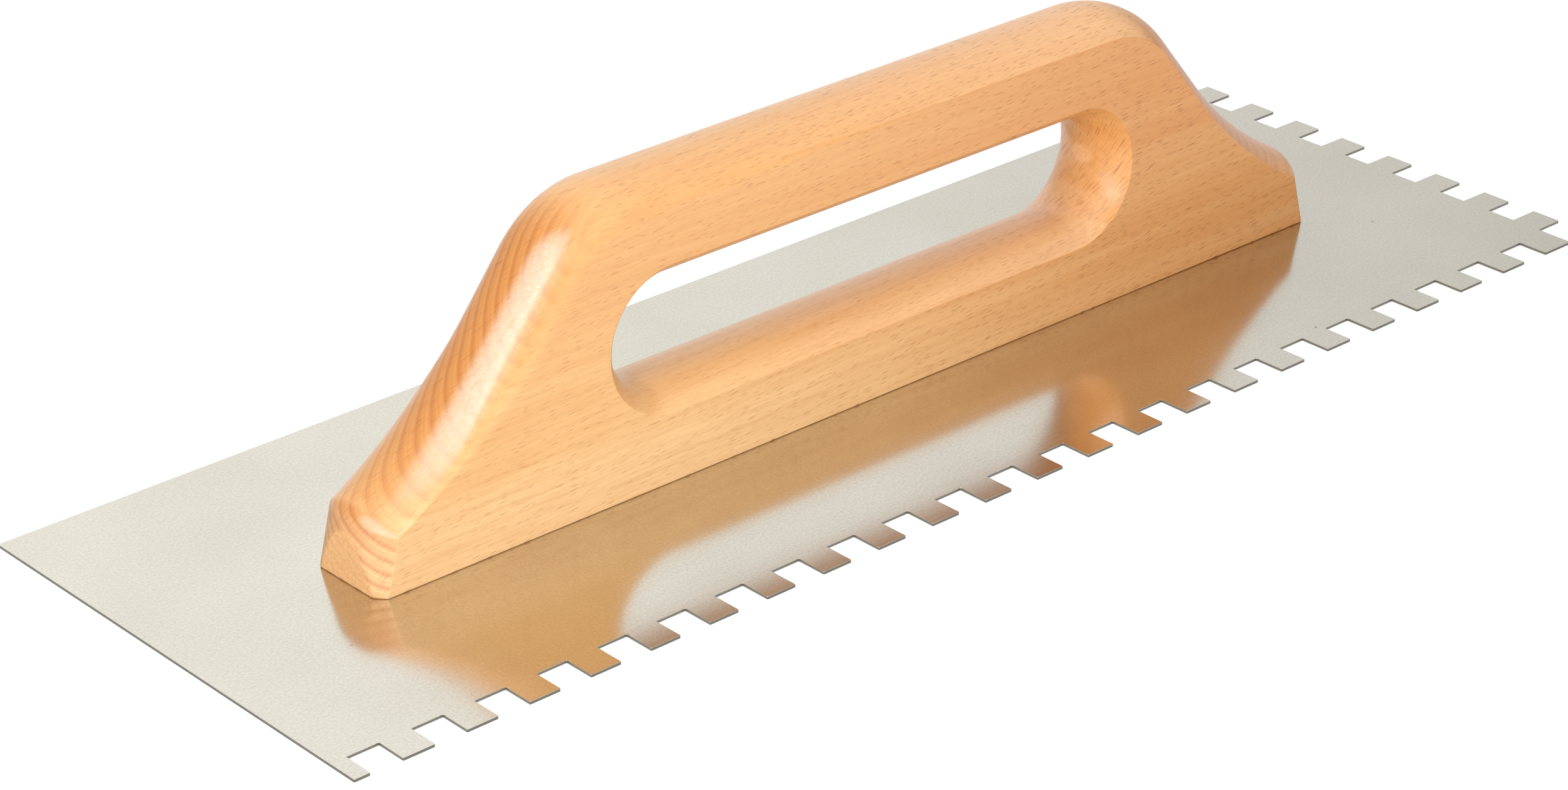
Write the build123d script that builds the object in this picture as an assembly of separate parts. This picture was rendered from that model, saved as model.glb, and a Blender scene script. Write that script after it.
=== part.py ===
from build123d import *
import math
import os

os.makedirs("parts", exist_ok=True)

# Blade: a stainless steel sheet lying flat, its underside at Z = 0, centred on the origin.
# The long edge at -Y and the short edge at +X are notched, and the other two are plain.
BLADE_LENGTH = 381.5
BLADE_WIDTH = 130.0
SHEET = 0.7
NOTCH = 8.0
PITCH = 2 * NOTCH
FIRST_TOOTH = NOTCH / 2
LONG_EDGE_NOTCHES = 23
SHORT_EDGE_NOTCHES = 7
CORNER_GAP = BLADE_WIDTH - SHORT_EDGE_NOTCHES * PITCH - NOTCH
PUNCH_DEPTH = 4 * SHEET

# Handle: one beech board standing on edge, with a finger hole and rounded edges all round.
HANDLE_LENGTH = 290.0
HANDLE_THICKNESS = 24.0
HANDLE_TOP = 73.8
NOSE_RADIUS = 16.5
CREST_CENTRE_X = 72.4
CREST_RADIUS = 30.2
SHOULDER_ANGLE = 51.3
SHOULDER_LENGTH = 19.5
SWEEP_RADIUS = 118.0
TOE_ANGLE = 29.8
TOE_RADIUS = 6.0
END_LEAN = 14.3
HOLE_STRAIGHT = 125.6
HOLE_END_RADIUS = 17.8
HOLE_HEIGHT = 35.8
BLANK_MARGIN = 2.0
CUTTER_REACH = 3.0
PAST_BASE = 2 * SHEET

# Screws: countersunk wood screws driven up through dimples in the sheet.
SCREW_COUNT = 7
SCREW_SPACING = 42.0
SCREW_TIP = 17.0
SHANK_RADIUS = 1.75
TIP_LENGTH = 3.0
HEAD_RECESS = 0.1
SEAT_RADIUS = 3.6
RECESS_SPAN = 4.0
RECESS_WIDTH = 0.9
RECESS_DEPTH = 1.5
RECESS_POINT_RADIUS = 0.2

# The dimple is the sheet pressed into a 90 degree cone, so its upper face is the lower face
# moved straight up by this much.
DIMPLE_RISE = SHEET * math.sqrt(2)
SEAT_TOP = SEAT_RADIUS - SHANK_RADIUS
DIMPLE_TOP_RADIUS = SHANK_RADIUS + DIMPLE_RISE / 2
DIMPLE_TOP = SEAT_TOP + DIMPLE_RISE / 2
DIMPLE_FOOT_RADIUS = SEAT_RADIUS + DIMPLE_RISE - SHEET

HALF_THICKNESS = HANDLE_THICKNESS / 2
NOSE_CENTRE = math.sqrt(NOSE_RADIUS**2 - HALF_THICKNESS**2)
NOSE_RISE = NOSE_RADIUS - NOSE_CENTRE


def turned(points):
    """A solid turned about Z from its (radius, height) outline."""
    return revolve(make_face(Plane.XZ * Polyline(*points, close=True)), Axis.Z)


def screw_places():
    """The screws stand in one row along the middle of the blade."""
    first = -SCREW_SPACING * (SCREW_COUNT - 1) / 2
    return [Pos(first + SCREW_SPACING * i, 0, 0) for i in range(SCREW_COUNT)]


def punched_notches():
    """The squares that the punch takes out of the two notched edges."""
    centre_z = SHEET / 2
    start_x = -BLADE_LENGTH / 2 + FIRST_TOOTH + NOTCH / 2
    front_y = -BLADE_WIDTH / 2
    punch = Box(NOTCH, 2 * NOTCH, PUNCH_DEPTH)
    cuts = [Pos(start_x + PITCH * i, front_y, centre_z) * punch for i in range(LONG_EDGE_NOTCHES)]

    end_x = BLADE_LENGTH / 2
    back_y = BLADE_WIDTH / 2 - NOTCH - NOTCH / 2
    punch = Box(2 * NOTCH, NOTCH, PUNCH_DEPTH)
    cuts += [Pos(end_x, back_y - PITCH * i, centre_z) * punch for i in range(SHORT_EDGE_NOTCHES)]
    cuts.append(Pos(end_x, front_y, centre_z) * Box(2 * NOTCH, 2 * CORNER_GAP, PUNCH_DEPTH))
    return cuts


def make_blade():
    """The sheet with its notches and a dimpled, countersunk seat for each screw."""
    blade = Pos(0, 0, SHEET / 2) * Box(BLADE_LENGTH, BLADE_WIDTH, SHEET)
    blade -= punched_notches()
    dimple = turned([
        (0, 0),
        (DIMPLE_FOOT_RADIUS, 0),
        (DIMPLE_FOOT_RADIUS, SHEET),
        (DIMPLE_TOP_RADIUS, DIMPLE_TOP),
        (0, DIMPLE_TOP),
    ])
    seat = turned([
        (0, 0),
        (SEAT_RADIUS, 0),
        (SHANK_RADIUS, SEAT_TOP),
        (DIMPLE_TOP_RADIUS, DIMPLE_TOP),
        (0, DIMPLE_TOP),
    ])
    blade += [place * dimple for place in screw_places()]
    blade -= [place * seat for place in screw_places()]
    return blade


def ridge_line():
    """The handle's outer outline at mid-thickness, from one foot over the top to the other."""
    shoulder = math.radians(SHOULDER_ANGLE)
    toe = math.radians(TOE_ANGLE)
    lean = math.radians(END_LEAN)

    crest_centre = Vector(CREST_CENTRE_X, 0, HANDLE_TOP - CREST_RADIUS)
    shoulder_out = Vector(math.sin(shoulder), 0, math.cos(shoulder))
    shoulder_down = Vector(math.cos(shoulder), 0, -math.sin(shoulder))
    toe_out = Vector(math.sin(toe), 0, math.cos(toe))
    toe_down = Vector(math.cos(toe), 0, -math.sin(toe))
    end_down = Vector(math.sin(lean), 0, -math.cos(lean))

    crest_start = crest_centre + Vector(0, 0, CREST_RADIUS)
    crest_end = crest_centre + shoulder_out * CREST_RADIUS
    sweep_start = crest_end + shoulder_down * SHOULDER_LENGTH
    sweep_centre = sweep_start + shoulder_out * SWEEP_RADIUS
    toe_start = sweep_centre - toe_out * SWEEP_RADIUS

    # The toe is a convex arc that turns from the sweep's last direction to the end's lean.
    toe_centre = toe_start - toe_out * TOE_RADIUS
    end_out = Vector(math.cos(lean), 0, math.sin(lean))
    toe_end = toe_centre + end_out * TOE_RADIUS
    foot = toe_end + end_down * (toe_end.Z / math.cos(lean) + PAST_BASE)

    half = [
        TangentArc(crest_start, crest_end, tangent=(1, 0, 0)),
        Line(crest_end, sweep_start),
        TangentArc(sweep_start, toe_start, tangent=shoulder_down),
        TangentArc(toe_start, toe_end, tangent=toe_down),
        Line(toe_end, foot),
    ]
    other_half = [edge.mirror(Plane.YZ) for edge in half]
    top = Line(Vector(-CREST_CENTRE_X, 0, HANDLE_TOP), crest_start)
    return Wire(half + other_half + [top])


def rounding_cutter(ridge):
    """What is planed off outside the nosing, swept along the ridge line from one foot."""
    start = ridge @ 0
    along = ridge % 0
    outward = Vector(along.Z, 0, -along.X)
    if outward.X * start.X < 0:
        outward = -outward
    section = Plane(origin=start, x_dir=outward, z_dir=along)
    nose = ThreePointArc((-NOSE_RISE, -HALF_THICKNESS), (0, 0), (-NOSE_RISE, HALF_THICKNESS))
    around = Polyline(
        (-NOSE_RISE, HALF_THICKNESS),
        (-NOSE_RISE, HALF_THICKNESS + CUTTER_REACH),
        (2 * CUTTER_REACH, HALF_THICKNESS + CUTTER_REACH),
        (2 * CUTTER_REACH, -HALF_THICKNESS - CUTTER_REACH),
        (-NOSE_RISE, -HALF_THICKNESS - CUTTER_REACH),
        (-NOSE_RISE, -HALF_THICKNESS),
    )
    return sweep(section * make_face([nose, around]), path=ridge)


def finger_hole():
    """The finger hole's space: a slot with half-round ends and walls that bulge inward."""
    half_straight = HOLE_STRAIGHT / 2
    narrow = HOLE_END_RADIUS - NOSE_RISE
    wall = ThreePointArc((HOLE_END_RADIUS, -HALF_THICKNESS), (narrow, 0), (HOLE_END_RADIUS, HALF_THICKNESS))
    around = Polyline(
        (HOLE_END_RADIUS, HALF_THICKNESS),
        (HOLE_END_RADIUS, HALF_THICKNESS + CUTTER_REACH),
        (0, HALF_THICKNESS + CUTTER_REACH),
        (0, -HALF_THICKNESS - CUTTER_REACH),
        (HOLE_END_RADIUS, -HALF_THICKNESS - CUTTER_REACH),
        (HOLE_END_RADIUS, -HALF_THICKNESS),
    )
    half_section = make_face([wall, around])

    # The half section stands on the slot's centre line, facing up, then down.
    pieces = []
    for up in (1, -1):
        plane = Plane(origin=(-half_straight, 0, HOLE_HEIGHT), x_dir=(0, 0, up), z_dir=(1, 0, 0))
        pieces.append(extrude(plane * half_section, HOLE_STRAIGHT))
    for side in (1, -1):
        centre = (side * half_straight, 0, HOLE_HEIGHT)
        plane = Plane(origin=centre, x_dir=(0, 0, 1), z_dir=(side, 0, 0))
        pieces.append(revolve(plane * half_section, Axis(centre, (0, side, 0)), 180))
    return Part() + pieces


def screw_space():
    """The countersink and pilot hole in the handle's base, for one dimple and one screw."""
    return turned([
        (0, 0),
        (DIMPLE_FOOT_RADIUS, 0),
        (DIMPLE_FOOT_RADIUS, SHEET),
        (DIMPLE_TOP_RADIUS, DIMPLE_TOP),
        (SHANK_RADIUS, DIMPLE_TOP),
        (SHANK_RADIUS, SCREW_TIP - TIP_LENGTH),
        (0, SCREW_TIP),
    ])


def make_handle():
    """The board, cut to its outline, rounded over, pierced for the fingers and drilled."""
    ridge = ridge_line()
    closing = Line(ridge @ 0, ridge @ 1)
    board = extrude(offset(make_face(ridge.edges() + [closing]), BLANK_MARGIN), HALF_THICKNESS, both=True)
    room = Box(HANDLE_LENGTH, HANDLE_THICKNESS, 2 * HANDLE_TOP)
    board &= Pos(0, 0, HANDLE_TOP + SHEET) * room
    handle = board - rounding_cutter(ridge) - finger_hole()
    handle -= [place * screw_space() for place in screw_places()]
    return handle


def make_screw():
    """One countersunk screw, head down at the sheet's underside, with a cross recess."""
    screw = turned([
        (0, HEAD_RECESS),
        (SEAT_RADIUS - HEAD_RECESS, HEAD_RECESS),
        (SHANK_RADIUS, SEAT_TOP),
        (SHANK_RADIUS, SCREW_TIP - TIP_LENGTH),
        (0, SCREW_TIP),
    ])
    slot = Pos(0, 0, HEAD_RECESS) * Box(RECESS_SPAN, RECESS_WIDTH, 2 * RECESS_DEPTH)
    align = (Align.CENTER, Align.CENTER, Align.MIN)
    point = Cone(RECESS_SPAN / 2, RECESS_POINT_RADIUS, RECESS_DEPTH, align=align)
    cross = (slot + Rot(0, 0, 90) * slot) & (Pos(0, 0, HEAD_RECESS) * point)
    return screw - cross


export_step(make_blade(), "parts/blade.step")
export_step(make_handle(), "parts/handle.step")
for number, place in enumerate(screw_places(), start=1):
    export_step(place * make_screw(), f"parts/screw_{number}.step")
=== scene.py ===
import math

import bmesh
import bpy
import numpy as np
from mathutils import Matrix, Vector
from mathutils.geometry import delaunay_2d_cdt


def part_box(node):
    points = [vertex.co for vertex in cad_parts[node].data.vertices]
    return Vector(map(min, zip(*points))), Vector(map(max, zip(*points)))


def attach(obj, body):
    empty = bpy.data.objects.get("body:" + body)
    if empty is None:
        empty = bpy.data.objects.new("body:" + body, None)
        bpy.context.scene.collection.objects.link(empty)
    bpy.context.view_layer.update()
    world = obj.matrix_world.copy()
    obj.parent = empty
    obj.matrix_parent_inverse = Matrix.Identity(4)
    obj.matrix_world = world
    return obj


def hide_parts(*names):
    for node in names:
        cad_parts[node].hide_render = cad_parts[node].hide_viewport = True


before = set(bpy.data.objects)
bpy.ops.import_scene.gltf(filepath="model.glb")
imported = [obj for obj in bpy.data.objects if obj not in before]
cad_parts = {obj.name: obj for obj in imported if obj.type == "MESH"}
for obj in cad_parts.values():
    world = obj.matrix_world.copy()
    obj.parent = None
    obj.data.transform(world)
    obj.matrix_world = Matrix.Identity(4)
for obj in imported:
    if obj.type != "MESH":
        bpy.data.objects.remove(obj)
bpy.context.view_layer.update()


# ---------------------------------------------------------------------------------------------
# The blade: a sheet of cold-rolled stainless steel, sheared to size. A square punch has taken
# every second 8 mm out of the front long edge and the right short edge. Seven dimples pressed
# up along its middle seat the screws that hold the handle.
# ---------------------------------------------------------------------------------------------

MM = 0.001
blade_low, blade_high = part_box("blade")
blade_length = blade_high.x - blade_low.x
blade_width = blade_high.y - blade_low.y
sheet = 0.7 * MM
notch = 8 * MM
first_tooth = notch / 2
long_edge_notches = 23
short_edge_notches = 7
punch_corner = 0.25 * MM
sheared_edge = 0.05 * MM
sharp_angle = math.radians(60)
gentle_angle = math.radians(20)
screw_count = 7
screw_spacing = 42 * MM
seat_radius = 3.6 * MM
shank_radius = 1.75 * MM
dimple_sides = 64


def linear(hex_colour):
    """An sRGB hex value as the linear colour, with alpha, that a shader wants."""
    parts = [int(hex_colour[i:i + 2], 16) / 255 for i in (1, 3, 5)]
    return tuple(p / 12.92 if p <= 0.04045 else ((p + 0.055) / 1.055) ** 2.4 for p in parts) + (1,)


def add(tree, kind, values=(), **settings):
    """Adds a node with its settings and links.

    values are its inputs, in order, or by name or number. Each is a plain value, an output, a
    node, whose first output is then used, or a list of these for an input that takes many.
    """
    node = tree.nodes.new(kind)
    for name, value in settings.items():
        setattr(node, name, value)
    inputs = values if isinstance(values, dict) else dict(enumerate(values))
    for key, value in inputs.items():
        for source in value if isinstance(value, list) else [value]:
            if isinstance(source, bpy.types.Node):
                source = source.outputs[0]
            if isinstance(source, bpy.types.NodeSocket):
                tree.links.new(source, node.inputs[key])
            else:
                node.inputs[key].default_value = source
    return node


def new_material(name):
    """A material with nothing in its tree yet."""
    material = bpy.data.materials.new(name)
    material.use_nodes = True
    material.node_tree.nodes.clear()
    return material


def new_tree(name, sizes):
    """A geometry tree that takes and gives a geometry, with one named input for each size."""
    tree = bpy.data.node_groups.new(name, "GeometryNodeTree")
    tree.interface.new_socket("Geometry", in_out="INPUT", socket_type="NodeSocketGeometry")
    tree.interface.new_socket("Geometry", in_out="OUTPUT", socket_type="NodeSocketGeometry")
    for size, value in sizes.items():
        kind = "NodeSocketInt" if isinstance(value, int) else "NodeSocketFloat"
        tree.interface.new_socket(size, in_out="INPUT", socket_type=kind)
    return tree


def end_tree(tree, geometry, material):
    """Every tree ends in plain mesh of one material."""
    plain = add(tree, "GeometryNodeRealizeInstances", {"Geometry": geometry})
    painted = add(tree, "GeometryNodeSetMaterial", {"Geometry": plain, "Material": material})
    add(tree, "NodeGroupOutput", {"Geometry": painted})


def run_tree(piece, tree, sizes):
    """Puts the tree on the piece with these sizes, each set by its socket's identifier."""
    modifier = piece.modifiers.new(tree.name, "NODES")
    modifier.node_group = tree
    for item in tree.interface.items_tree:
        if item.in_out == "INPUT" and item.name in sizes:
            modifier[item.identifier] = sizes[item.name]


def put_in_scene(name, mesh):
    """The mesh as an object of this name at the origin."""
    piece = bpy.data.objects.new(name, mesh)
    bpy.context.scene.collection.objects.link(piece)
    return piece


def settle(piece):
    """Turns what the modifiers make into the piece's own plain mesh, and removes them."""
    shape = piece.evaluated_get(bpy.context.evaluated_depsgraph_get())
    mesh = bpy.data.meshes.new_from_object(shape)
    piece.modifiers.clear()
    piece.data = mesh


# Rolled stainless, grade 1.4301: a satin grey with a warm cast, so finely rough that it mirrors
# what stands close and only glows with what stands further off. Rolling leaves faint streaks
# along the sheet, and handling leaves small pits.
def rolled_stainless():
    streak_length = 20 * MM
    streak_width = 0.625 * MM
    cloud_size = 55.556 * MM
    grain_size = 2 / 3 * MM
    pit_spacing = 14.2857 * MM

    material = new_material("rolled_stainless_sheet")
    tree = material.node_tree
    coords = add(tree, "ShaderNodeTexCoord").outputs
    place = coords["Object"]
    streak_scale = (1 / streak_length, 1 / streak_width, 1 / streak_width)
    along_sheet = add(tree, "ShaderNodeMapping", {"Vector": place, "Scale": streak_scale})
    streaks = add(tree, "ShaderNodeTexNoise", {
        "Vector": along_sheet, "Scale": 1.0, "Detail": 3.0, "Roughness": 0.6})
    cloud = add(tree, "ShaderNodeTexNoise", {"Vector": place, "Scale": 1 / cloud_size, "Detail": 4.0})
    grain = add(tree, "ShaderNodeTexNoise", {"Vector": place, "Scale": 1 / grain_size, "Detail": 2.0})

    tone = add(tree, "ShaderNodeMapRange", (cloud, 0.35, 0.65))
    sheen = add(tree, "ShaderNodeMix", {0: tone, 6: linear("#d0ccbf"), 7: linear("#d7d3c7")},
                data_type="RGBA").outputs[2]
    grain_level = add(tree, "ShaderNodeMapRange", (grain, 0.25, 0.75, 0.9, 1.07))
    speckled = add(tree, "ShaderNodeVectorMath", {0: sheen, "Scale": grain_level}, operation="SCALE")

    # The pits are up to 1 mm across, and most are much fainter than the deepest.
    pits = add(tree, "ShaderNodeTexVoronoi", {"Vector": place, "Scale": 1 / pit_spacing}).outputs
    pit = add(tree, "ShaderNodeMapRange", (pits["Distance"], 0.012, 0.035, 1.0, 0.0))
    chance = add(tree, "ShaderNodeSeparateColor", (pits["Color"],))
    depth = add(tree, "ShaderNodeMath", (chance, 3.0), operation="POWER")
    pit_mark = add(tree, "ShaderNodeMath", (pit, depth), operation="MULTIPLY")
    marked = add(tree, "ShaderNodeMix", {0: pit_mark, 6: speckled, 7: linear("#7d7868")},
                 data_type="RGBA").outputs[2]

    # The sheared edges are torn and dull, and look much darker than the faces.
    facing_up = add(tree, "ShaderNodeSeparateXYZ", (coords["Normal"],)).outputs["Z"]
    level = add(tree, "ShaderNodeMath", (facing_up,), operation="ABSOLUTE")
    edge = add(tree, "ShaderNodeMapRange", (level, 0.05, 0.5, 1.0, 0.0))
    colour = add(tree, "ShaderNodeMix", {0: edge, 6: marked, 7: linear("#77736a")},
                 data_type="RGBA").outputs[2]
    rolled = add(tree, "ShaderNodeMapRange", (streaks, 0.25, 0.75, 0.12, 0.17))
    roughness = add(tree, "ShaderNodeMath", (edge, 0.25, rolled), operation="MULTIPLY_ADD")

    height = add(tree, "ShaderNodeMath", (streaks, 0.4, grain), operation="MULTIPLY_ADD")
    bump = add(tree, "ShaderNodeBump", {"Height": height, "Strength": 0.05, "Distance": 0.02 * MM})
    shader = add(tree, "ShaderNodeBsdfPrincipled", {
        "Base Color": colour, "Roughness": roughness, "Metallic": 1.0, "Normal": bump})
    add(tree, "ShaderNodeOutputMaterial", (shader,))
    return material


# The sheet starts as a grid whose lines are one notch apart, so each tooth and each notch is one
# cell. The notches' cells are taken out, and what is left is thickened.
columns = 2 * long_edge_notches + 3
rows = 2 * short_edge_notches + 4
sheet_sizes = {
    "Columns": columns,
    "Rows": rows,
    "Grid length": (columns - 1) * notch,
    "Grid width": (rows - 1) * notch,
    "Left edge": blade_low.x,
    "Front edge": blade_low.y,
    "Back edge": blade_high.y,
    "Right roots": blade_high.x - notch,
    "Front roots": blade_low.y + notch,
    "First notch": blade_low.x + first_tooth,
    "Slack along": blade_length - first_tooth - (columns - 2) * notch,
    "Slack across": (rows - 1) * notch - blade_width,
    "Notch": notch,
    "Pitch": 2 * notch,
    "Thickness": sheet,
}


def punched_sheet_tree(sizes, material):
    tree = new_tree("punched_sheet", sizes)
    size = add(tree, "NodeGroupInput").outputs
    grid = add(tree, "GeometryNodeMeshGrid", (
        size["Grid length"], size["Grid width"], size["Columns"], size["Rows"]))
    x, y, _ = add(tree, "ShaderNodeSeparateXYZ", (add(tree, "GeometryNodeInputPosition"),)).outputs

    # The grid is moved so that its second line is where the first notch starts and its last row
    # is the back edge. Its first line moves in to the left edge.
    half_along = add(tree, "ShaderNodeMath", (size["Grid length"], 2), operation="DIVIDE")
    half_across = add(tree, "ShaderNodeMath", (size["Grid width"], 2), operation="DIVIDE")
    first_line = add(tree, "ShaderNodeMath", (size["First notch"], size["Notch"]), operation="SUBTRACT")
    shift_x = add(tree, "ShaderNodeMath", (first_line, half_along), operation="ADD")
    shift_y = add(tree, "ShaderNodeMath", (size["Back edge"], half_across), operation="SUBTRACT")
    shift = add(tree, "ShaderNodeCombineXYZ", (shift_x, shift_y))
    moved = add(tree, "GeometryNodeTransform", {"Geometry": grid, "Translation": shift})

    # The last two lines each way, the notches' roots and the teeth's tips, take up the slack.
    # They lie past the middle of the last tooth that has its full width.
    last_tooth_x = add(tree, "ShaderNodeMath", (size["Notch"], -0.75, size["Right roots"]),
                       operation="MULTIPLY_ADD")
    last_tooth_y = add(tree, "ShaderNodeMath", (size["Notch"], 0.75, size["Front edge"]),
                       operation="MULTIPLY_ADD")
    at_end = add(tree, "ShaderNodeMath", (x, last_tooth_x), operation="GREATER_THAN")
    at_front = add(tree, "ShaderNodeMath", (y, last_tooth_y), operation="LESS_THAN")
    kept_in = add(tree, "ShaderNodeMath", (x, size["Left edge"]), operation="MAXIMUM")
    fit_x = add(tree, "ShaderNodeMath", (at_end, size["Slack along"], kept_in), operation="MULTIPLY_ADD")
    fit_y = add(tree, "ShaderNodeMath", (at_front, size["Slack across"], y), operation="MULTIPLY_ADD")
    fitted = add(tree, "GeometryNodeSetPosition", {
        "Geometry": moved, "Position": add(tree, "ShaderNodeCombineXYZ", (fit_x, fit_y))})

    # From the first notch on, the first half of each pitch is a notch. From the back edge, where
    # a tooth comes first, it is the second half.
    from_first = add(tree, "ShaderNodeMath", (x, size["First notch"]), operation="SUBTRACT")
    stroke = add(tree, "ShaderNodeMath", (from_first, size["Pitch"]), operation="FLOORED_MODULO")
    punched = add(tree, "ShaderNodeMath", (stroke, size["Notch"]), operation="LESS_THAN")
    in_front = add(tree, "ShaderNodeMath", (y, size["Front roots"]), operation="LESS_THAN")
    long_notch = add(tree, "ShaderNodeMath", (punched, in_front), operation="MULTIPLY")
    from_back = add(tree, "ShaderNodeMath", (size["Back edge"], y), operation="SUBTRACT")
    end_stroke = add(tree, "ShaderNodeMath", (from_back, size["Pitch"]), operation="FLOORED_MODULO")
    end_punched = add(tree, "ShaderNodeMath", (end_stroke, size["Notch"]), operation="GREATER_THAN")
    on_right = add(tree, "ShaderNodeMath", (x, size["Right roots"]), operation="GREATER_THAN")
    short_notch = add(tree, "ShaderNodeMath", (end_punched, on_right), operation="MULTIPLY")
    gone = add(tree, "ShaderNodeMath", (long_notch, short_notch), operation="MAXIMUM")
    cut = add(tree, "GeometryNodeDeleteGeometry", {"Geometry": fitted, "Selection": gone}, domain="FACE")

    rise = add(tree, "ShaderNodeCombineXYZ", {"Z": size["Thickness"]})
    upper = add(tree, "GeometryNodeExtrudeMesh", {
        "Mesh": cut, "Offset": rise, "Offset Scale": 1.0, "Individual": False})
    underside = add(tree, "GeometryNodeFlipFaces", (cut,))
    both = add(tree, "GeometryNodeJoinGeometry", ([upper, underside],))
    closed = add(tree, "GeometryNodeMergeByDistance", {"Geometry": both, "Distance": 0.001 * MM})

    # The punch has slightly worn corners: the upright edges get a weight for the bevel.
    ends = add(tree, "GeometryNodeInputMeshEdgeVertices").outputs
    run = add(tree, "ShaderNodeVectorMath", (ends["Position 1"], ends["Position 2"]), operation="SUBTRACT")
    run_z = add(tree, "ShaderNodeSeparateXYZ", (run,)).outputs["Z"]
    run_up = add(tree, "ShaderNodeMath", (run_z,), operation="ABSOLUTE")
    half_sheet = add(tree, "ShaderNodeMath", (size["Thickness"], 2), operation="DIVIDE")
    upright = add(tree, "ShaderNodeMath", (run_up, half_sheet), operation="GREATER_THAN")
    angle = add(tree, "GeometryNodeInputMeshEdgeAngle")
    sharp = add(tree, "ShaderNodeMath", (angle, sharp_angle), operation="GREATER_THAN")
    corner = add(tree, "ShaderNodeMath", (upright, sharp), operation="MULTIPLY")
    weighted = add(tree, "GeometryNodeStoreNamedAttribute", {
        "Geometry": closed, "Name": "bevel_weight_edge", "Value": corner}, domain="EDGE")
    end_tree(tree, weighted, material)
    return tree


def turned_sizes(name, foot, foot_radius, top, top_radius):
    """The named sizes of one turned stretch that stands on end."""
    return {
        f"{name} foot": foot, f"{name} height": top - foot,
        f"{name} foot radius": foot_radius, f"{name} top radius": top_radius}


def turned_stretch(tree, size, name, sides):
    """A cone or rod with the sizes of this name."""
    shape = add(tree, "GeometryNodeMeshCone", {
        "Vertices": sides, "Radius Bottom": size[f"{name} foot radius"],
        "Radius Top": size[f"{name} top radius"], "Depth": size[f"{name} height"]})
    lift = add(tree, "ShaderNodeCombineXYZ", {"Z": size[f"{name} foot"]})
    return add(tree, "GeometryNodeTransform", {"Geometry": shape, "Translation": lift})


def at_each_screw(tree, size, shape):
    """A copy of the shape at each of the screws' places, in one row along the blade."""
    start = add(tree, "ShaderNodeCombineXYZ", (size["First screw"],))
    step = add(tree, "ShaderNodeCombineXYZ", (size["Spacing"],))
    row = add(tree, "GeometryNodeMeshLine", {
        "Count": size["Screws"], "Start Location": start, "Offset": step})
    return add(tree, "GeometryNodeInstanceOnPoints", {"Points": row, "Instance": shape})


# Each dimple is the sheet pressed into a 90 degree cone. It is joined to the sheet's upper face,
# and its seat and the screw's hole are taken out of the lower one.
row_sizes = {
    "Screws": screw_count,
    "Spacing": screw_spacing,
    "First screw": -screw_spacing * (screw_count - 1) / 2,
}
cone_rise = sheet * math.sqrt(2)
cone_radius = seat_radius + cone_rise
seat_top = seat_radius - shank_radius
dimple_top = seat_top + cone_rise / 2
past_face = 0.2 * MM
dimple_sizes = {
    **row_sizes,
    **turned_sizes("Dimple", sheet / 2, cone_radius - sheet / 2, dimple_top, cone_radius - dimple_top),
    **turned_sizes("Seat", -past_face, seat_radius + past_face, seat_top, shank_radius),
    **turned_sizes("Hole", past_face, shank_radius, dimple_top + 2 * past_face, shank_radius),
}


def dimples_tree(sizes, material):
    tree = new_tree("dimples", sizes)
    size = add(tree, "NodeGroupInput").outputs
    dimples, seats, holes = [
        add(tree, "GeometryNodeRealizeInstances", (
            at_each_screw(tree, size, turned_stretch(tree, size, name, dimple_sides)),))
        for name in ("Dimple", "Seat", "Hole")]
    pressed = add(tree, "GeometryNodeMeshBoolean", {"Mesh 2": [size["Geometry"], dimples]},
                  operation="UNION", solver="EXACT")
    seated = add(tree, "GeometryNodeMeshBoolean", {"Mesh 1": pressed, "Mesh 2": seats},
                 operation="DIFFERENCE", solver="EXACT")
    drilled = add(tree, "GeometryNodeMeshBoolean", {"Mesh 1": seated, "Mesh 2": holes},
                  operation="DIFFERENCE", solver="EXACT")
    angle = add(tree, "GeometryNodeInputMeshEdgeAngle")
    gentle = add(tree, "ShaderNodeMath", (angle, gentle_angle), operation="LESS_THAN")
    smooth = add(tree, "GeometryNodeSetShadeSmooth", {
        "Geometry": drilled, "Shade Smooth": True}, domain="FACE")
    edged = add(tree, "GeometryNodeSetShadeSmooth", {
        "Geometry": smooth, "Shade Smooth": gentle}, domain="EDGE")
    end_tree(tree, edged, material)
    return tree


stainless = rolled_stainless()
blade = put_in_scene("notched_blade", bpy.data.meshes.new("notched_blade"))
run_tree(blade, punched_sheet_tree(sheet_sizes, stainless), sheet_sizes)
corners = blade.modifiers.new("punch_corners", "BEVEL")
corners.limit_method = "WEIGHT"
corners.width = punch_corner
corners.segments = 3
rim = blade.modifiers.new("sheared_rim", "BEVEL")
rim.limit_method = "ANGLE"
rim.angle_limit = sharp_angle
rim.width = sheared_edge
rim.segments = 2
run_tree(blade, dimples_tree(dimple_sizes, stainless), dimple_sizes)
settle(blade)
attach(blade, "root")
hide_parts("blade")


# ---------------------------------------------------------------------------------------------
# The handle: one board of steamed beech, sawn to an outline, pierced for the fingers, rounded
# over with one nosing cutter and sanded by hand, most of all on the left shoulder, then given
# two thin coats of clear lacquer.
# ---------------------------------------------------------------------------------------------

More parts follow.
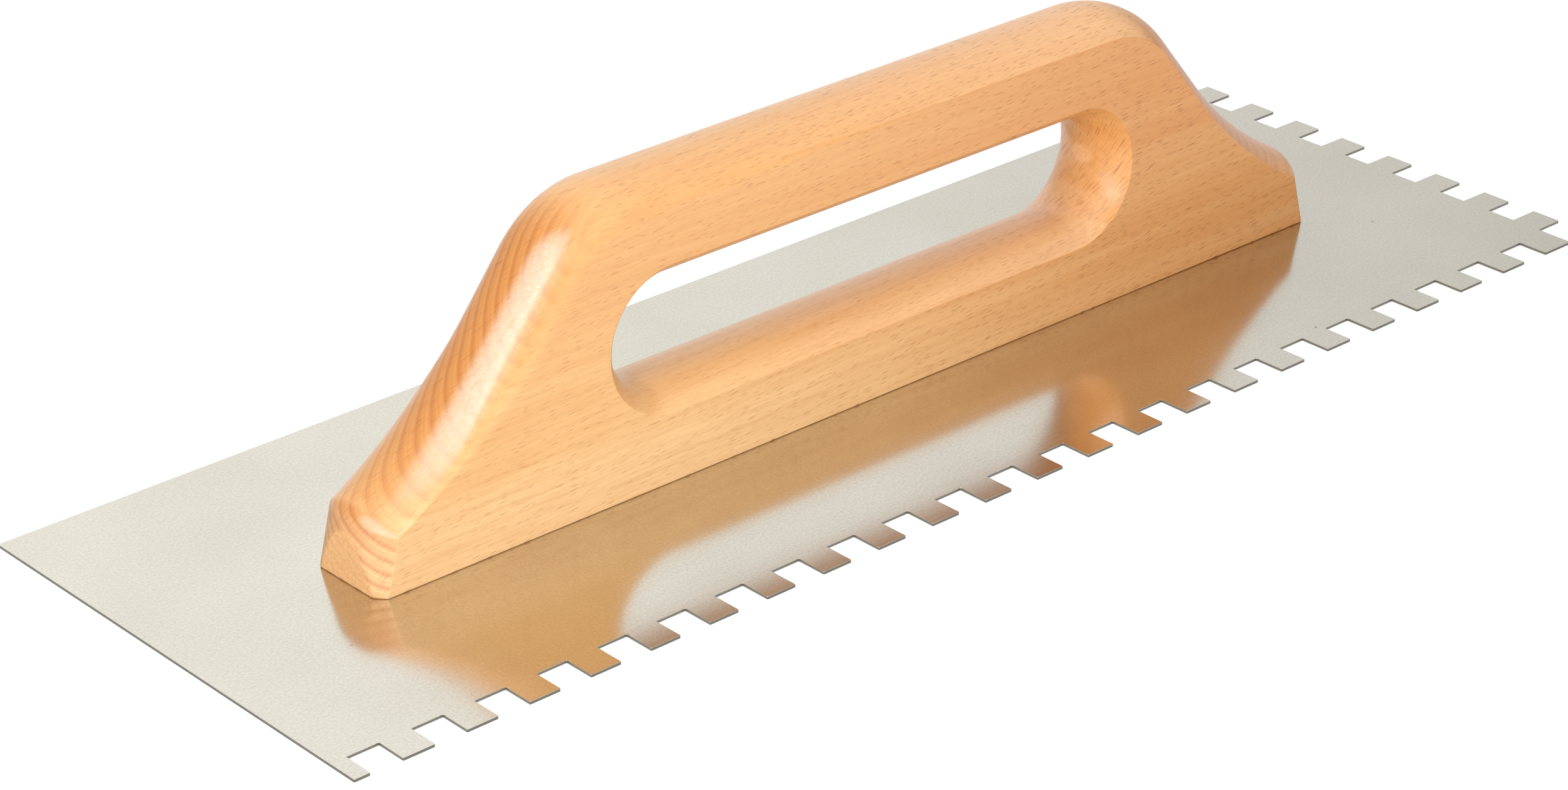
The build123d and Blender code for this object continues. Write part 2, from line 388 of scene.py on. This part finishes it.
handle_low, handle_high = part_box("handle")
half_length = (handle_high.x - handle_low.x) / 2
half_thick = (handle_high.y - handle_low.y) / 2
base_z = handle_low.z
top_z = handle_high.z
nose_radius = 16.5 * MM
nose_rise = nose_radius - math.sqrt(nose_radius ** 2 - half_thick ** 2)
crest_x = 72.4 * MM
crest_radius = 30.2 * MM
shoulder_angle = math.radians(51.3)
shoulder_length = 19.5 * MM
sweep_radius = 118 * MM
toe_angle = math.radians(29.8)
toe_radius = 6 * MM
end_lean = math.radians(14.3)
end_blend = 0.25 * MM
hole_half_straight = 62.8 * MM
hole_radius = 17.8 * MM
hole_z = 35.8 * MM
base_arris = 0.4 * MM
crisp_arris = 0.45 * MM
soft_arris = 9.5 * MM
side_strip = 0.3 * MM
merge_within = 0.002 * MM
touching = 0.0001 * MM

# How many steps each stretch of the mesh is divided into.
top_steps = 72
crest_steps = 27
shoulder_steps = 20
sweep_steps = 50
toe_steps = 24
end_steps = 30
base_steps = 119
hole_end_steps = 64
hole_side_steps = 60
nose_steps = 48
hole_nose_steps = 32
arris_steps = 12
base_arris_steps = 4


def out_from(angle):
    """The outward direction of a stretch that falls away at this angle, seen from the side."""
    return np.array([math.sin(angle), math.cos(angle)])


def arc_stations(centre, radius, start, end, steps):
    """Places on a round stretch with their outward directions. A hollow has a radius below zero."""
    angles = np.linspace(start, end, steps + 1)[1:]
    return [(centre + radius * out_from(a), out_from(a)) for a in angles]


def line_stations(start, end, outward, steps):
    """Places on a straight stretch, without its first point, with their outward direction."""
    return [(start + (end - start) * i / steps, outward) for i in range(1, steps + 1)]


def half_ridge():
    """The ridge line at mid-thickness, from the top's middle to where the toe meets the end."""
    top_middle = np.array([0, top_z])
    crest_centre = np.array([crest_x, top_z - crest_radius])
    shoulder_out = out_from(shoulder_angle)
    shoulder_down = np.array([math.cos(shoulder_angle), -math.sin(shoulder_angle)])
    crest_end = crest_centre + crest_radius * shoulder_out
    sweep_start = crest_end + shoulder_length * shoulder_down
    sweep_centre = sweep_start + sweep_radius * shoulder_out
    toe_centre = sweep_centre - (sweep_radius + toe_radius) * out_from(toe_angle)
    end_angle = math.pi / 2 - end_lean
    stations = [(top_middle, out_from(0))]
    stations += line_stations(top_middle, crest_centre + [0, crest_radius], out_from(0), top_steps)
    stations += arc_stations(crest_centre, crest_radius, 0, shoulder_angle, crest_steps)
    stations += line_stations(crest_end, sweep_start, shoulder_out, shoulder_steps)
    stations += arc_stations(sweep_centre, -sweep_radius, shoulder_angle, toe_angle, sweep_steps)
    stations += arc_stations(toe_centre, toe_radius, toe_angle, end_angle, toe_steps)
    return stations


def nosing(arris, steps):
    """The rounded edge in section, front to back, as (outward, sideways), with sanded corners."""
    run = math.sqrt((nose_radius - arris) ** 2 - (half_thick - arris) ** 2)
    corner = np.array([run - nose_radius, arris - half_thick])
    meet = math.atan2(half_thick - arris, run)
    front = [corner + arris * np.array([math.cos(a), -math.sin(a)])
             for a in np.linspace(math.pi / 2, meet, arris_steps, endpoint=False)]
    nose = [nose_radius * np.array([math.cos(a) - 1, math.sin(a)])
            for a in np.linspace(-meet, meet, steps + 1)]
    back = [point * [1, -1] for point in reversed(front)]
    return np.array(front + nose + back)


def soft_limit(value, limit, blend):
    """The value, but never past the limit, with a small rounded turn at it."""
    over = np.clip((value - limit + blend) / (2 * blend), 0, 1)
    return np.minimum(value, limit + blend) - blend * over * over


def eased(value, low, high):
    """How far the value is from low to high, from 0 to 1, with a gentle start and end."""
    way = min(1, max(0, (value - low) / (high - low)))
    return way * way * (3 - 2 * way)


def sanded(x, z):
    """How far the corner is sanded back here: soft on the left shoulder, crisp on the right."""
    towards_left = eased(-x, -20 * MM, 110 * MM)
    above_foot = eased(z, 18 * MM, 50 * MM)
    return crisp_arris + (soft_arris - crisp_arris) * towards_left * above_foot


def ridge_band():
    """The band of skin over the ridge, as rows of points from the right foot to the left one."""
    band = []
    for side in (1, -1):
        half = []
        for place, out in half_ridge():
            section = nosing(sanded(side * place[0], place[1]), nose_steps)
            x = place[0] + out[0] * section[:, 0]
            z = place[1] + out[1] * section[:, 0]
            half.append(np.c_[x, section[:, 1], z])
        # Below the toe every line runs straight down the leaning end to the base.
        toe = half[-1]
        drop = toe[:, 2] - (base_z + base_arris)
        for i in range(1, end_steps + 1):
            fallen = drop * i / end_steps
            half.append(np.c_[toe[:, 0] + fallen * math.tan(end_lean), toe[:, 1], toe[:, 2] - fallen])
        # A saw has taken a small flat off the very end.
        half = [np.c_[soft_limit(row[:, 0], half_length, end_blend) * side, row[:, 1:]] for row in half]
        band = half[::-1] if side > 0 else band + half[1:]
    return np.array(band)


def hole_wall():
    """The finger hole's wall, as rows of points round the hole, each from front to back."""
    section = nosing(crisp_arris, hole_nose_steps)
    reach = hole_radius - nose_rise - section[:, 0]
    wall = []
    for side in (1, -1):
        for a in np.linspace(0, math.pi, hole_end_steps + 1):
            out = side * out_from(a)
            x = side * hole_half_straight + out[0] * reach
            z = hole_z + out[1] * reach
            wall.append(np.c_[x, section[:, 1], z])
        start = wall[-1]
        end = start - [2 * side * hole_half_straight, 0, 0]
        wall += [start + (end - start) * i / hole_side_steps for i in range(1, hole_side_steps)]
    return np.array(wall)


def add_rows(bm, rows, closed):
    """Skins a grid of points with quads and returns its vertices, row by row."""
    verts = [[bm.verts.new(point) for point in row] for row in rows]
    pairs = list(zip(verts, verts[1:])) + ([(verts[-1], verts[0])] if closed else [])
    for one, two in pairs:
        for i in range(len(one) - 1):
            bm.faces.new((one[i], one[i + 1], two[i + 1], two[i]))
    return verts


def inset(loop, amount):
    """A closed outline moved in by this much, or out if it is below zero."""
    x, y = loop.T
    turns_left = np.sum(x * np.roll(y, -1) - np.roll(x, -1) * y) > 0
    ahead = np.roll(loop, -1, 0) - np.roll(loop, 1, 0)
    ahead /= np.linalg.norm(ahead, axis=1)[:, None]
    inward = np.c_[-ahead[:, 1], ahead[:, 0]] if turns_left else np.c_[ahead[:, 1], -ahead[:, 0]]
    return loop + amount * inward


def base_line(start, end):
    """Points between the two feet, along one side of the base."""
    return np.linspace(start, end, base_steps + 1)[1:-1]


def handle_mesh():
    bm = bmesh.new()
    band = ridge_band()
    wall = hole_wall()
    add_rows(bm, band, closed=False)
    add_rows(bm, wall, closed=True)

    # Each side: a narrow strip inside the outline and round the hole, and flat wood between.
    for column in (0, -1):
        y = band[0, column, 1]
        foot = base_line(band[-1, column], band[0, column])
        outline = np.vstack([band[:, column], foot])[:, [0, 2]]
        hole = wall[:, column][:, [0, 2]]
        loops = []
        for loop, amount in ((outline, side_strip), (hole, -side_strip)):
            moved = inset(loop, amount)
            add_rows(bm, [[(x, y, z) for x, z in pair] for pair in zip(loop, moved)], closed=True)
            loops.append(moved)
        points = [Vector(point) for loop in loops for point in loop]
        outer = list(range(len(loops[0])))
        inner = list(range(len(loops[0]), len(points)))
        edges = [(loop[i - 1], loop[i]) for loop in (outer, inner) for i in range(len(loop))]
        found, _, faces, _, _, _ = delaunay_2d_cdt(points, edges, [outer], 1, touching)
        verts = [bm.verts.new((point.x, y, point.y)) for point in found]
        # A face whose corners are all round the hole lies inside it.
        for face in faces:
            if min(face) < len(outer):
                bm.faces.new([verts[i] for i in face])

    # The base: a narrow sanded arris round its edge, then the flat that sits on the sheet.
    front = base_line(band[-1, 0], band[0, 0])
    back = base_line(band[0, -1], band[-1, -1])
    rim = np.vstack([band[0], back, band[-1][::-1], front])[:, :2]
    rings = []
    for turn in np.linspace(0, math.pi / 2, base_arris_steps + 1):
        z = base_z + base_arris * (1 - math.sin(turn))
        ring = inset(rim, base_arris * (1 - math.cos(turn)))
        rings.append([(x, y, z) for x, y in ring])
    verts = add_rows(bm, zip(*rings), closed=True)
    bm.faces.new([row[-1] for row in verts])

    bmesh.ops.remove_doubles(bm, verts=bm.verts, dist=merge_within)
    bmesh.ops.recalc_face_normals(bm, faces=bm.faces)
    for face in bm.faces:
        face.smooth = True
    mesh = bpy.data.meshes.new("beech_handle")
    bm.to_mesh(mesh)
    bm.free()
    return mesh


# Steamed beech under clear lacquer: a honey ground, deeper where the board is cut across the
# grain. Year rings 2.6 mm apart curve round a pith that lay in front of the board and above it.
# Rays run out from the pith as thin dark sheets, so they show as short dashes along the grain on
# the sides and top, and as fine cross lines on the sawn slopes.
def lacquered_beech():
    material = new_material("lacquered_beech")
    tree = material.node_tree
    coords = add(tree, "ShaderNodeTexCoord").outputs
    in_mm = add(tree, "ShaderNodeVectorMath", {0: coords["Object"], "Scale": 1 / MM}, operation="SCALE")
    height = add(tree, "ShaderNodeSeparateXYZ", (in_mm,)).outputs["Z"]
    facing, _, facing_up = add(tree, "ShaderNodeSeparateXYZ", (coords["Normal"],)).outputs

    # The trunk's own coordinates in mm: along the pith, out from it, and round it, 60 mm out.
    trunk = add(tree, "ShaderNodeMapping", {
        "Vector": in_mm, "Location": (0, -38, 80.2), "Rotation": (0, -0.03, 0.044)}, vector_type="TEXTURE")
    along, out_y, out_z = add(tree, "ShaderNodeSeparateXYZ", (trunk,)).outputs
    out = add(tree, "ShaderNodeCombineXYZ", (0.0, out_y, out_z))
    radius = add(tree, "ShaderNodeVectorMath", (out,), operation="LENGTH").outputs["Value"]
    angle = add(tree, "ShaderNodeMath", (out_z, out_y), operation="ARCTAN2")
    around = add(tree, "ShaderNodeMath", (angle, 60.0), operation="MULTIPLY")
    wood = add(tree, "ShaderNodeCombineXYZ", (along, radius, around))

    # The rays spread more gently than that, from further behind the pith. They are told apart by
    # how far up they are 48 mm out.
    ray_y = add(tree, "ShaderNodeMath", (out_y, 22.0), operation="ADD")
    ray_z = add(tree, "ShaderNodeMath", (out_z, 40.0), operation="SUBTRACT")
    ray_slope = add(tree, "ShaderNodeMath", (ray_z, ray_y), operation="DIVIDE")
    ray_rise = add(tree, "ShaderNodeMath", (ray_slope, 48.0), operation="MULTIPLY")
    ray_wood = add(tree, "ShaderNodeCombineXYZ", (along, radius, ray_rise))

    def grain(size, detail, seed=0.0):
        """A cloudy pattern with this many mm to a cloud along, out and round."""
        scaled = add(tree, "ShaderNodeMapping", {
            "Vector": wood, "Scale": tuple(1 / s for s in size), "Location": (seed, seed, seed)})
        return add(tree, "ShaderNodeTexNoise", {
            "Vector": scaled, "Scale": 1.0, "Detail": detail, "Roughness": 0.6})

    def rays(spacing, half_size, seed):
        """Thin sheets, one to each spacing, and how far they reach along, out and across, in mm."""
        scaled = add(tree, "ShaderNodeMapping", {
            "Vector": ray_wood, "Scale": tuple(1 / s for s in spacing), "Location": (seed, seed, seed)})
        cells = add(tree, "ShaderNodeTexVoronoi", {"Vector": scaled, "Scale": 1.0}).outputs
        gap = add(tree, "ShaderNodeVectorMath", (scaled, cells["Position"]), operation="SUBTRACT")
        shape = tuple(s / h for s, h in zip(spacing, half_size))
        sized = add(tree, "ShaderNodeVectorMath", (gap, shape), operation="MULTIPLY")
        reach = add(tree, "ShaderNodeVectorMath", (sized,), operation="LENGTH").outputs["Value"]
        inside = add(tree, "ShaderNodeMapRange", (reach, 0.5, torn, 1.0, 0.0),
                     interpolation_type="SMOOTHSTEP")
        depth = add(tree, "ShaderNodeSeparateColor", (cells["Color"],))
        return add(tree, "ShaderNodeMath", (inside, depth), operation="MULTIPLY")

    # Where the wood is cut: across the grain, on the outer slopes, at the sawn ends; and where it faces up,
    # which gets painted light.
    steep = add(tree, "ShaderNodeMath", (facing,), operation="ABSOLUTE")
    end_grain = add(tree, "ShaderNodeMapRange", (steep, 0.2, 0.75), interpolation_type="SMOOTHSTEP")
    sawn_end = add(tree, "ShaderNodeMapRange", (steep, 0.97, 0.995), interpolation_type="SMOOTHSTEP")
    half = add(tree, "ShaderNodeMath", (along,), operation="SIGN")
    outward = add(tree, "ShaderNodeMath", (facing, half), operation="MULTIPLY")
    outer_grain = add(tree, "ShaderNodeMapRange", (outward, 0.2, 0.75), interpolation_type="SMOOTHSTEP")
    top_painted_light = add(tree, "ShaderNodeMapRange", (facing_up, 0.5, 0.66), interpolation_type="SMOOTHSTEP")
    rightward = add(tree, "ShaderNodeMapRange", (along, -90.0, 110.0), interpolation_type="SMOOTHSTEP")
    leftward = add(tree, "ShaderNodeMapRange", (along, 110.0, -90.0), interpolation_type="SMOOTHSTEP")

    # A year ring darkens slowly outward, ends in a thin dark line and starts again pale. Between
    # the year lines run finer ones, three to a year.
    wander = add(tree, "ShaderNodeMath", (grain((240, 60, 50), 2.0), 10.0, radius), operation="MULTIPLY_ADD")
    years = add(tree, "ShaderNodeMath", (wander, 2.6), operation="DIVIDE")
    year = add(tree, "ShaderNodeMath", (years,), operation="FRACT")
    darkening = add(tree, "ShaderNodeMapRange", (year, 0.35, 0.93), interpolation_type="SMOOTHSTEP")
    ending = add(tree, "ShaderNodeMapRange", (year, 1.0, 0.95), interpolation_type="SMOOTHSTEP")
    late_wood = add(tree, "ShaderNodeMath", (darkening, ending), operation="MULTIPLY")
    fine_years = add(tree, "ShaderNodeMath", (wander, 0.87), operation="DIVIDE")
    fine_year = add(tree, "ShaderNodeMath", (fine_years,), operation="FRACT")
    fine_line = add(tree, "ShaderNodeMapRange", (fine_year, 0.4, 0.95, 0.0, 0.45),
                    interpolation_type="SMOOTHSTEP")
    ring = add(tree, "ShaderNodeMath", (late_wood, fine_line), operation="MAXIMUM")
    ring_depth = add(tree, "ShaderNodeMath", (outer_grain, 0.38, 0.07), operation="MULTIPLY_ADD")
    vintage = add(tree, "ShaderNodeMapRange", (grain((300, 6, 90), 2.0, 3.1), 0.3, 0.72),
                  interpolation_type="SMOOTHSTEP")
    darker_years = add(tree, "ShaderNodeMath", (rightward, 2.6, vintage), operation="MULTIPLY_ADD")

    # A ray looks thicker where it is cut across, because the saw tears it open.
    torn = add(tree, "ShaderNodeMath", (end_grain, 0.35, 1.0), operation="MULTIPLY_ADD")
    long_rays = rays((4.6, 5.0, 1.0), (1.6, 2.3, 0.145), 0.0)
    short_rays = rays((3.8, 4.0, 0.8), (1.2, 1.8, 0.12), 7.3)
    ray = add(tree, "ShaderNodeMath", (long_rays, short_rays), operation="MAXIMUM")
    ray_depth = add(tree, "ShaderNodeMath", (rightward, 0.45, 0.42), operation="MULTIPLY_ADD")

    fibre = grain((26, 0.8, 0.8), 5.0, 1.7)
    streaks = add(tree, "ShaderNodeMapRange", (fibre, 0.35, 0.75), interpolation_type="SMOOTHSTEP")
    pores = add(tree, "ShaderNodeMapRange", (grain((4, 0.5, 0.5), 1.0, 9.4), 0.55, 0.75),
                interpolation_type="SMOOTHSTEP")
    # The saw's marks hide most of the figure on the sawn ends.
    clear = add(tree, "ShaderNodeMath", (sawn_end, -0.75, 1.0), operation="MULTIPLY_ADD")

    # Painted highlights: the left corner is paler, in patches, where it faces (-0.69, -0.46, 0.56), and the
    # left toe is paler.
    corner = (-0.69, -0.46, 0.56)
    highlight_facing = add(tree, "ShaderNodeVectorMath", (coords["Normal"], corner),
                     operation="DOT_PRODUCT").outputs["Value"]
    corner_painted_highlight = add(tree, "ShaderNodeMapRange", (highlight_facing, 0.94, 0.998), interpolation_type="SMOOTHSTEP")
    on_left = add(tree, "ShaderNodeMapRange", (along, -70.0, -90.0), interpolation_type="SMOOTHSTEP")
    above_toe = add(tree, "ShaderNodeMapRange", (height, 6.0, 24.0), interpolation_type="SMOOTHSTEP")
    patchy = add(tree, "ShaderNodeMath", (fibre, 0.25), operation="ADD")
    toe_painted_highlight = add(tree, "ShaderNodeMapRange", (height, 22.0, 8.0), interpolation_type="SMOOTHSTEP")

    # The wood is paler towards the bark. Each layer then tints it by the product of its shares.
    cloud = grain((120, 14, 30), 2.0, 5.2)
    outer_wood = add(tree, "ShaderNodeMapRange", (radius, 24.0, 72.0, -0.4, 0.6),
                     interpolation_type="SMOOTHSTEP")
    barkward = add(tree, "ShaderNodeMath", (cloud, 0.8, outer_wood), operation="MULTIPLY_ADD")
    colour = add(tree, "ShaderNodeMix", {0: barkward, 6: linear("#d8a56a"), 7: linear("#e6b97f")},
                 data_type="RGBA").outputs[2]
    layers = [
        (darker_years, 0.24, "#cc8644"),
        # Painted light: the faces that look up are paler towards the right.
        (top_painted_light, rightward, 0.6, "#ecc295"),
        (end_grain, 0.35, "#e2a25c"),
        (outer_grain, 0.8, "#bf7d3b"),
        # Painted shade: the outer slopes are darker towards the right.
        (outer_grain, rightward, 0.5, "#9c5c26"),
        # Painted highlight: the lower left toe is paler.
        (toe_painted_highlight, leftward, 0.55, "#f2c998"),
        (sawn_end, 0.65, "#e9b67e"),
        (streaks, 0.3, "#c98546"),
        (ring, ring_depth, clear, "#a04f10"),
        (pores, sawn_end, 0.5, "#b06f36"),
        (ray, ray_depth, clear, "#94501e"),
        # Painted highlight: the left corner is paler, in patches.
        (corner_painted_highlight, on_left, patchy, above_toe, 0.8, "#e0cab4"),
    ]
    for *shares, tint in layers:
        share = shares[0]
        for other in shares[1:]:
            share = add(tree, "ShaderNodeMath", (share, other), operation="MULTIPLY")
        colour = add(tree, "ShaderNodeMix", {0: share, 6: colour, 7: linear(tint)},
                     data_type="RGBA").outputs[2]

    relief = add(tree, "ShaderNodeMath", (fibre, ray), operation="SUBTRACT")
    bump = add(tree, "ShaderNodeBump", {"Height": relief, "Strength": 0.15, "Distance": 0.04 * MM})
    shader = add(tree, "ShaderNodeBsdfPrincipled", {
        "Base Color": colour, "Roughness": 0.45, "IOR": 1.5, "Specular IOR Level": 0.35,
        "Coat Weight": 0.6, "Coat Roughness": 0.32, "Normal": bump})
    add(tree, "ShaderNodeOutputMaterial", (shader,))
    return material


handle = put_in_scene("beech_handle", handle_mesh())
handle.data.materials.append(lacquered_beech())
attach(handle, "root")
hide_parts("handle")


# ---------------------------------------------------------------------------------------------
# The screws: seven countersunk wood screws, cold-headed from steel wire and zinc plated. Their
# cross-recessed heads sit just under the sheet's lower face.
# ---------------------------------------------------------------------------------------------

head_depth = 0.1 * MM
head_radius = 3.5 * MM
head_top = head_depth + head_radius - shank_radius
screw_tip = 17 * MM
point_start = 14 * MM
recess_span = 4 * MM
recess_width = 0.9 * MM
recess_depth = 1.5 * MM
recess_point_radius = 0.2 * MM
overlap = 0.1 * MM
screw_sides = 48
screw_sizes = {
    **row_sizes,
    **turned_sizes("Head", head_depth, head_radius, head_top, shank_radius),
    **turned_sizes("Shank", head_top - overlap, shank_radius, point_start, shank_radius),
    **turned_sizes("Point", point_start - 0.001 * MM, shank_radius, screw_tip, 0.0),
    **turned_sizes("Mouth", 0.0, recess_span / 2, head_depth + recess_depth, recess_point_radius),
    "Recess span": recess_span,
    "Recess width": recess_width,
    "Recess height": 2 * recess_depth,
}


# Bright zinc: a cool, slightly mottled grey, half matt where the plating has grown in grains.
def zinc_plate():
    zinc_grain = 0.4 * MM
    material = new_material("zinc_plated_steel")
    tree = material.node_tree
    place = add(tree, "ShaderNodeTexCoord").outputs["Object"]
    grains = add(tree, "ShaderNodeTexVoronoi", {"Vector": place, "Scale": 1 / zinc_grain})
    tone = add(tree, "ShaderNodeMix", {0: grains, 6: linear("#c3c4c6"), 7: linear("#a9abae")},
               data_type="RGBA").outputs[2]
    bump = add(tree, "ShaderNodeBump", {"Height": grains, "Strength": 0.2, "Distance": 0.03 * MM})
    shader = add(tree, "ShaderNodeBsdfPrincipled", {
        "Base Color": tone, "Metallic": 1.0, "Roughness": 0.35, "Normal": bump})
    add(tree, "ShaderNodeOutputMaterial", (shader,))
    return material


# One screw is a countersunk head, a shank and a point, with the cross recess cut out of the head.
# It is repeated along the row.
def screws_tree(sizes, material):
    tree = new_tree("screw_row", sizes)
    size = add(tree, "NodeGroupInput").outputs
    head, shank, point, mouth = [
        turned_stretch(tree, size, name, screw_sides) for name in ("Head", "Shank", "Point", "Mouth")]
    body = add(tree, "GeometryNodeMeshBoolean", {"Mesh 2": [head, shank, point]},
               operation="UNION", solver="EXACT")
    wing = add(tree, "ShaderNodeCombineXYZ", (
        size["Recess span"], size["Recess width"], size["Recess height"]))
    bar = add(tree, "GeometryNodeMeshCube", {"Size": wing})
    other_bar = add(tree, "GeometryNodeTransform", {"Geometry": bar, "Rotation": (0, 0, math.pi / 2)})
    bars = add(tree, "GeometryNodeMeshBoolean", {"Mesh 2": [bar, other_bar]},
               operation="UNION", solver="EXACT")
    cross = add(tree, "GeometryNodeMeshBoolean", {"Mesh 2": [bars, mouth]},
                operation="INTERSECT", solver="EXACT")
    screw = add(tree, "GeometryNodeMeshBoolean", {"Mesh 1": body, "Mesh 2": cross},
                operation="DIFFERENCE", solver="EXACT")
    end_tree(tree, at_each_screw(tree, size, screw), material)
    return tree


screws = put_in_scene("countersunk_screws", bpy.data.meshes.new("countersunk_screws"))
run_tree(screws, screws_tree(screw_sizes, zinc_plate()), screw_sizes)
settle(screws)
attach(screws, "root")
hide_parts(*[f"screw_{i + 1}" for i in range(screw_count)])


# ---------------------------------------------------------------------------------------------
# The studio: a lit pale floor that runs out of sight, a bright room and five soft lamps.
# ---------------------------------------------------------------------------------------------

floor_material = bpy.data.materials.new("pale_studio_floor")
floor_material.use_nodes = True
paint = floor_material.node_tree.nodes["Principled BSDF"].inputs
paint["Base Color"].default_value = linear("#9b9b9a")
paint["Roughness"].default_value = 0.9
paint["Specular IOR Level"].default_value = 0.0
paint["Emission Color"].default_value = linear("#ffffff")
paint["Emission Strength"].default_value = 0.74

floor_reach = 6.0
floor_corners = [(-1, -1), (1, -1), (1, 1), (-1, 1)]
floor_mesh = bpy.data.meshes.new("studio_floor")
floor_mesh.from_pydata([(x * floor_reach, y * floor_reach, 0) for x, y in floor_corners], [], [(0, 1, 2, 3)])
floor_mesh.materials.append(floor_material)
floor = put_in_scene("studio_floor", floor_mesh)
floor.location.z = -0.2 * MM

# The room is dim in front and on both sides, and bright where the back wall catches the window:
# that wall is what the blade mirrors. The levels run from the far left to the far right.
world = bpy.data.worlds.new("studio_room")
world.use_nodes = True
room = world.node_tree
view = add(room, "ShaderNodeTexCoord").outputs["Generated"]
to_right, to_back, _ = add(room, "ShaderNodeSeparateXYZ", (view,)).outputs
side_level = add(room, "ShaderNodeFloatCurve", {"Value": to_right})
side_level.mapping.clip_min_x = -1.0
levels = side_level.mapping.curves[0].points
levels[0].location = (-1.0, 0.32)
levels[1].location = (1.0, 0.2)
for x, level in ((0.0, 0.4), (0.38, 0.85), (0.5, 0.84), (0.72, 0.58)):
    levels.new(x, level)
side_level.mapping.update()
depth_level = add(room, "ShaderNodeMapRange", (to_back, -0.2, 0.3, 0.95, 1.4))
brightness = add(room, "ShaderNodeMath", (side_level, depth_level), operation="MULTIPLY")
background = room.nodes["Background"]
background.inputs["Color"].default_value = linear("#ffffff")
room.links.new(brightness.outputs[0], background.inputs["Strength"])
bpy.context.scene.world = world


def soft_lamp(name, place, target, size, power, mirrored=True):
    """A rectangular lamp. One that isn't mirrored lights the tool without showing in the steel."""
    lamp = bpy.data.lights.new(name, "AREA")
    lamp.shape = "RECTANGLE"
    lamp.size, lamp.size_y = size
    lamp.energy = power
    light = bpy.data.objects.new(name, lamp)
    light.location = place
    light.rotation_euler = (Vector(target) - Vector(place)).to_track_quat("-Z", "Y").to_euler()
    light.visible_camera = False
    light.visible_glossy = mirrored
    bpy.context.scene.collection.objects.link(light)


grip = (-0.1, 0, 0.03)
soft_lamp("top_light", (0.0, -0.05, 1.6), (0, 0, 0), (2.0, 1.6), 15.0, mirrored=False)
soft_lamp("key_light", (-0.45, -0.42, 0.3), grip, (0.35, 0.35), 2.5)
soft_lamp("side_light", (-0.8, -0.5, 0.66), grip, (0.55, 0.55), 1.3)
soft_lamp("low_light", (-0.95, -0.25, 0.2), grip, (0.5, 0.35), 2.6)
# A narrow lamp along the front gives the handle's foot the light that polished steel throws up.
soft_lamp("steel_glow", (0.0, -0.13, 0.012), (0.0, 0, 0.02), (0.26, 0.02), 0.032, mirrored=False)

camera_data = bpy.data.cameras.new("camera")
camera_data.sensor_width = 36.0
camera_data.lens = 95.55
camera_data.shift_x = 0.0341
camera_data.clip_start = 0.05
camera = bpy.data.objects.new("camera", camera_data)
camera.location = (-0.5861, -0.6413, 0.4323)
camera.rotation_euler = tuple(math.radians(a) for a in (63.356, 0.794, -40.997))
bpy.context.scene.collection.objects.link(camera)
bpy.context.scene.camera = camera
bpy.context.scene.view_settings.view_transform = "Standard"
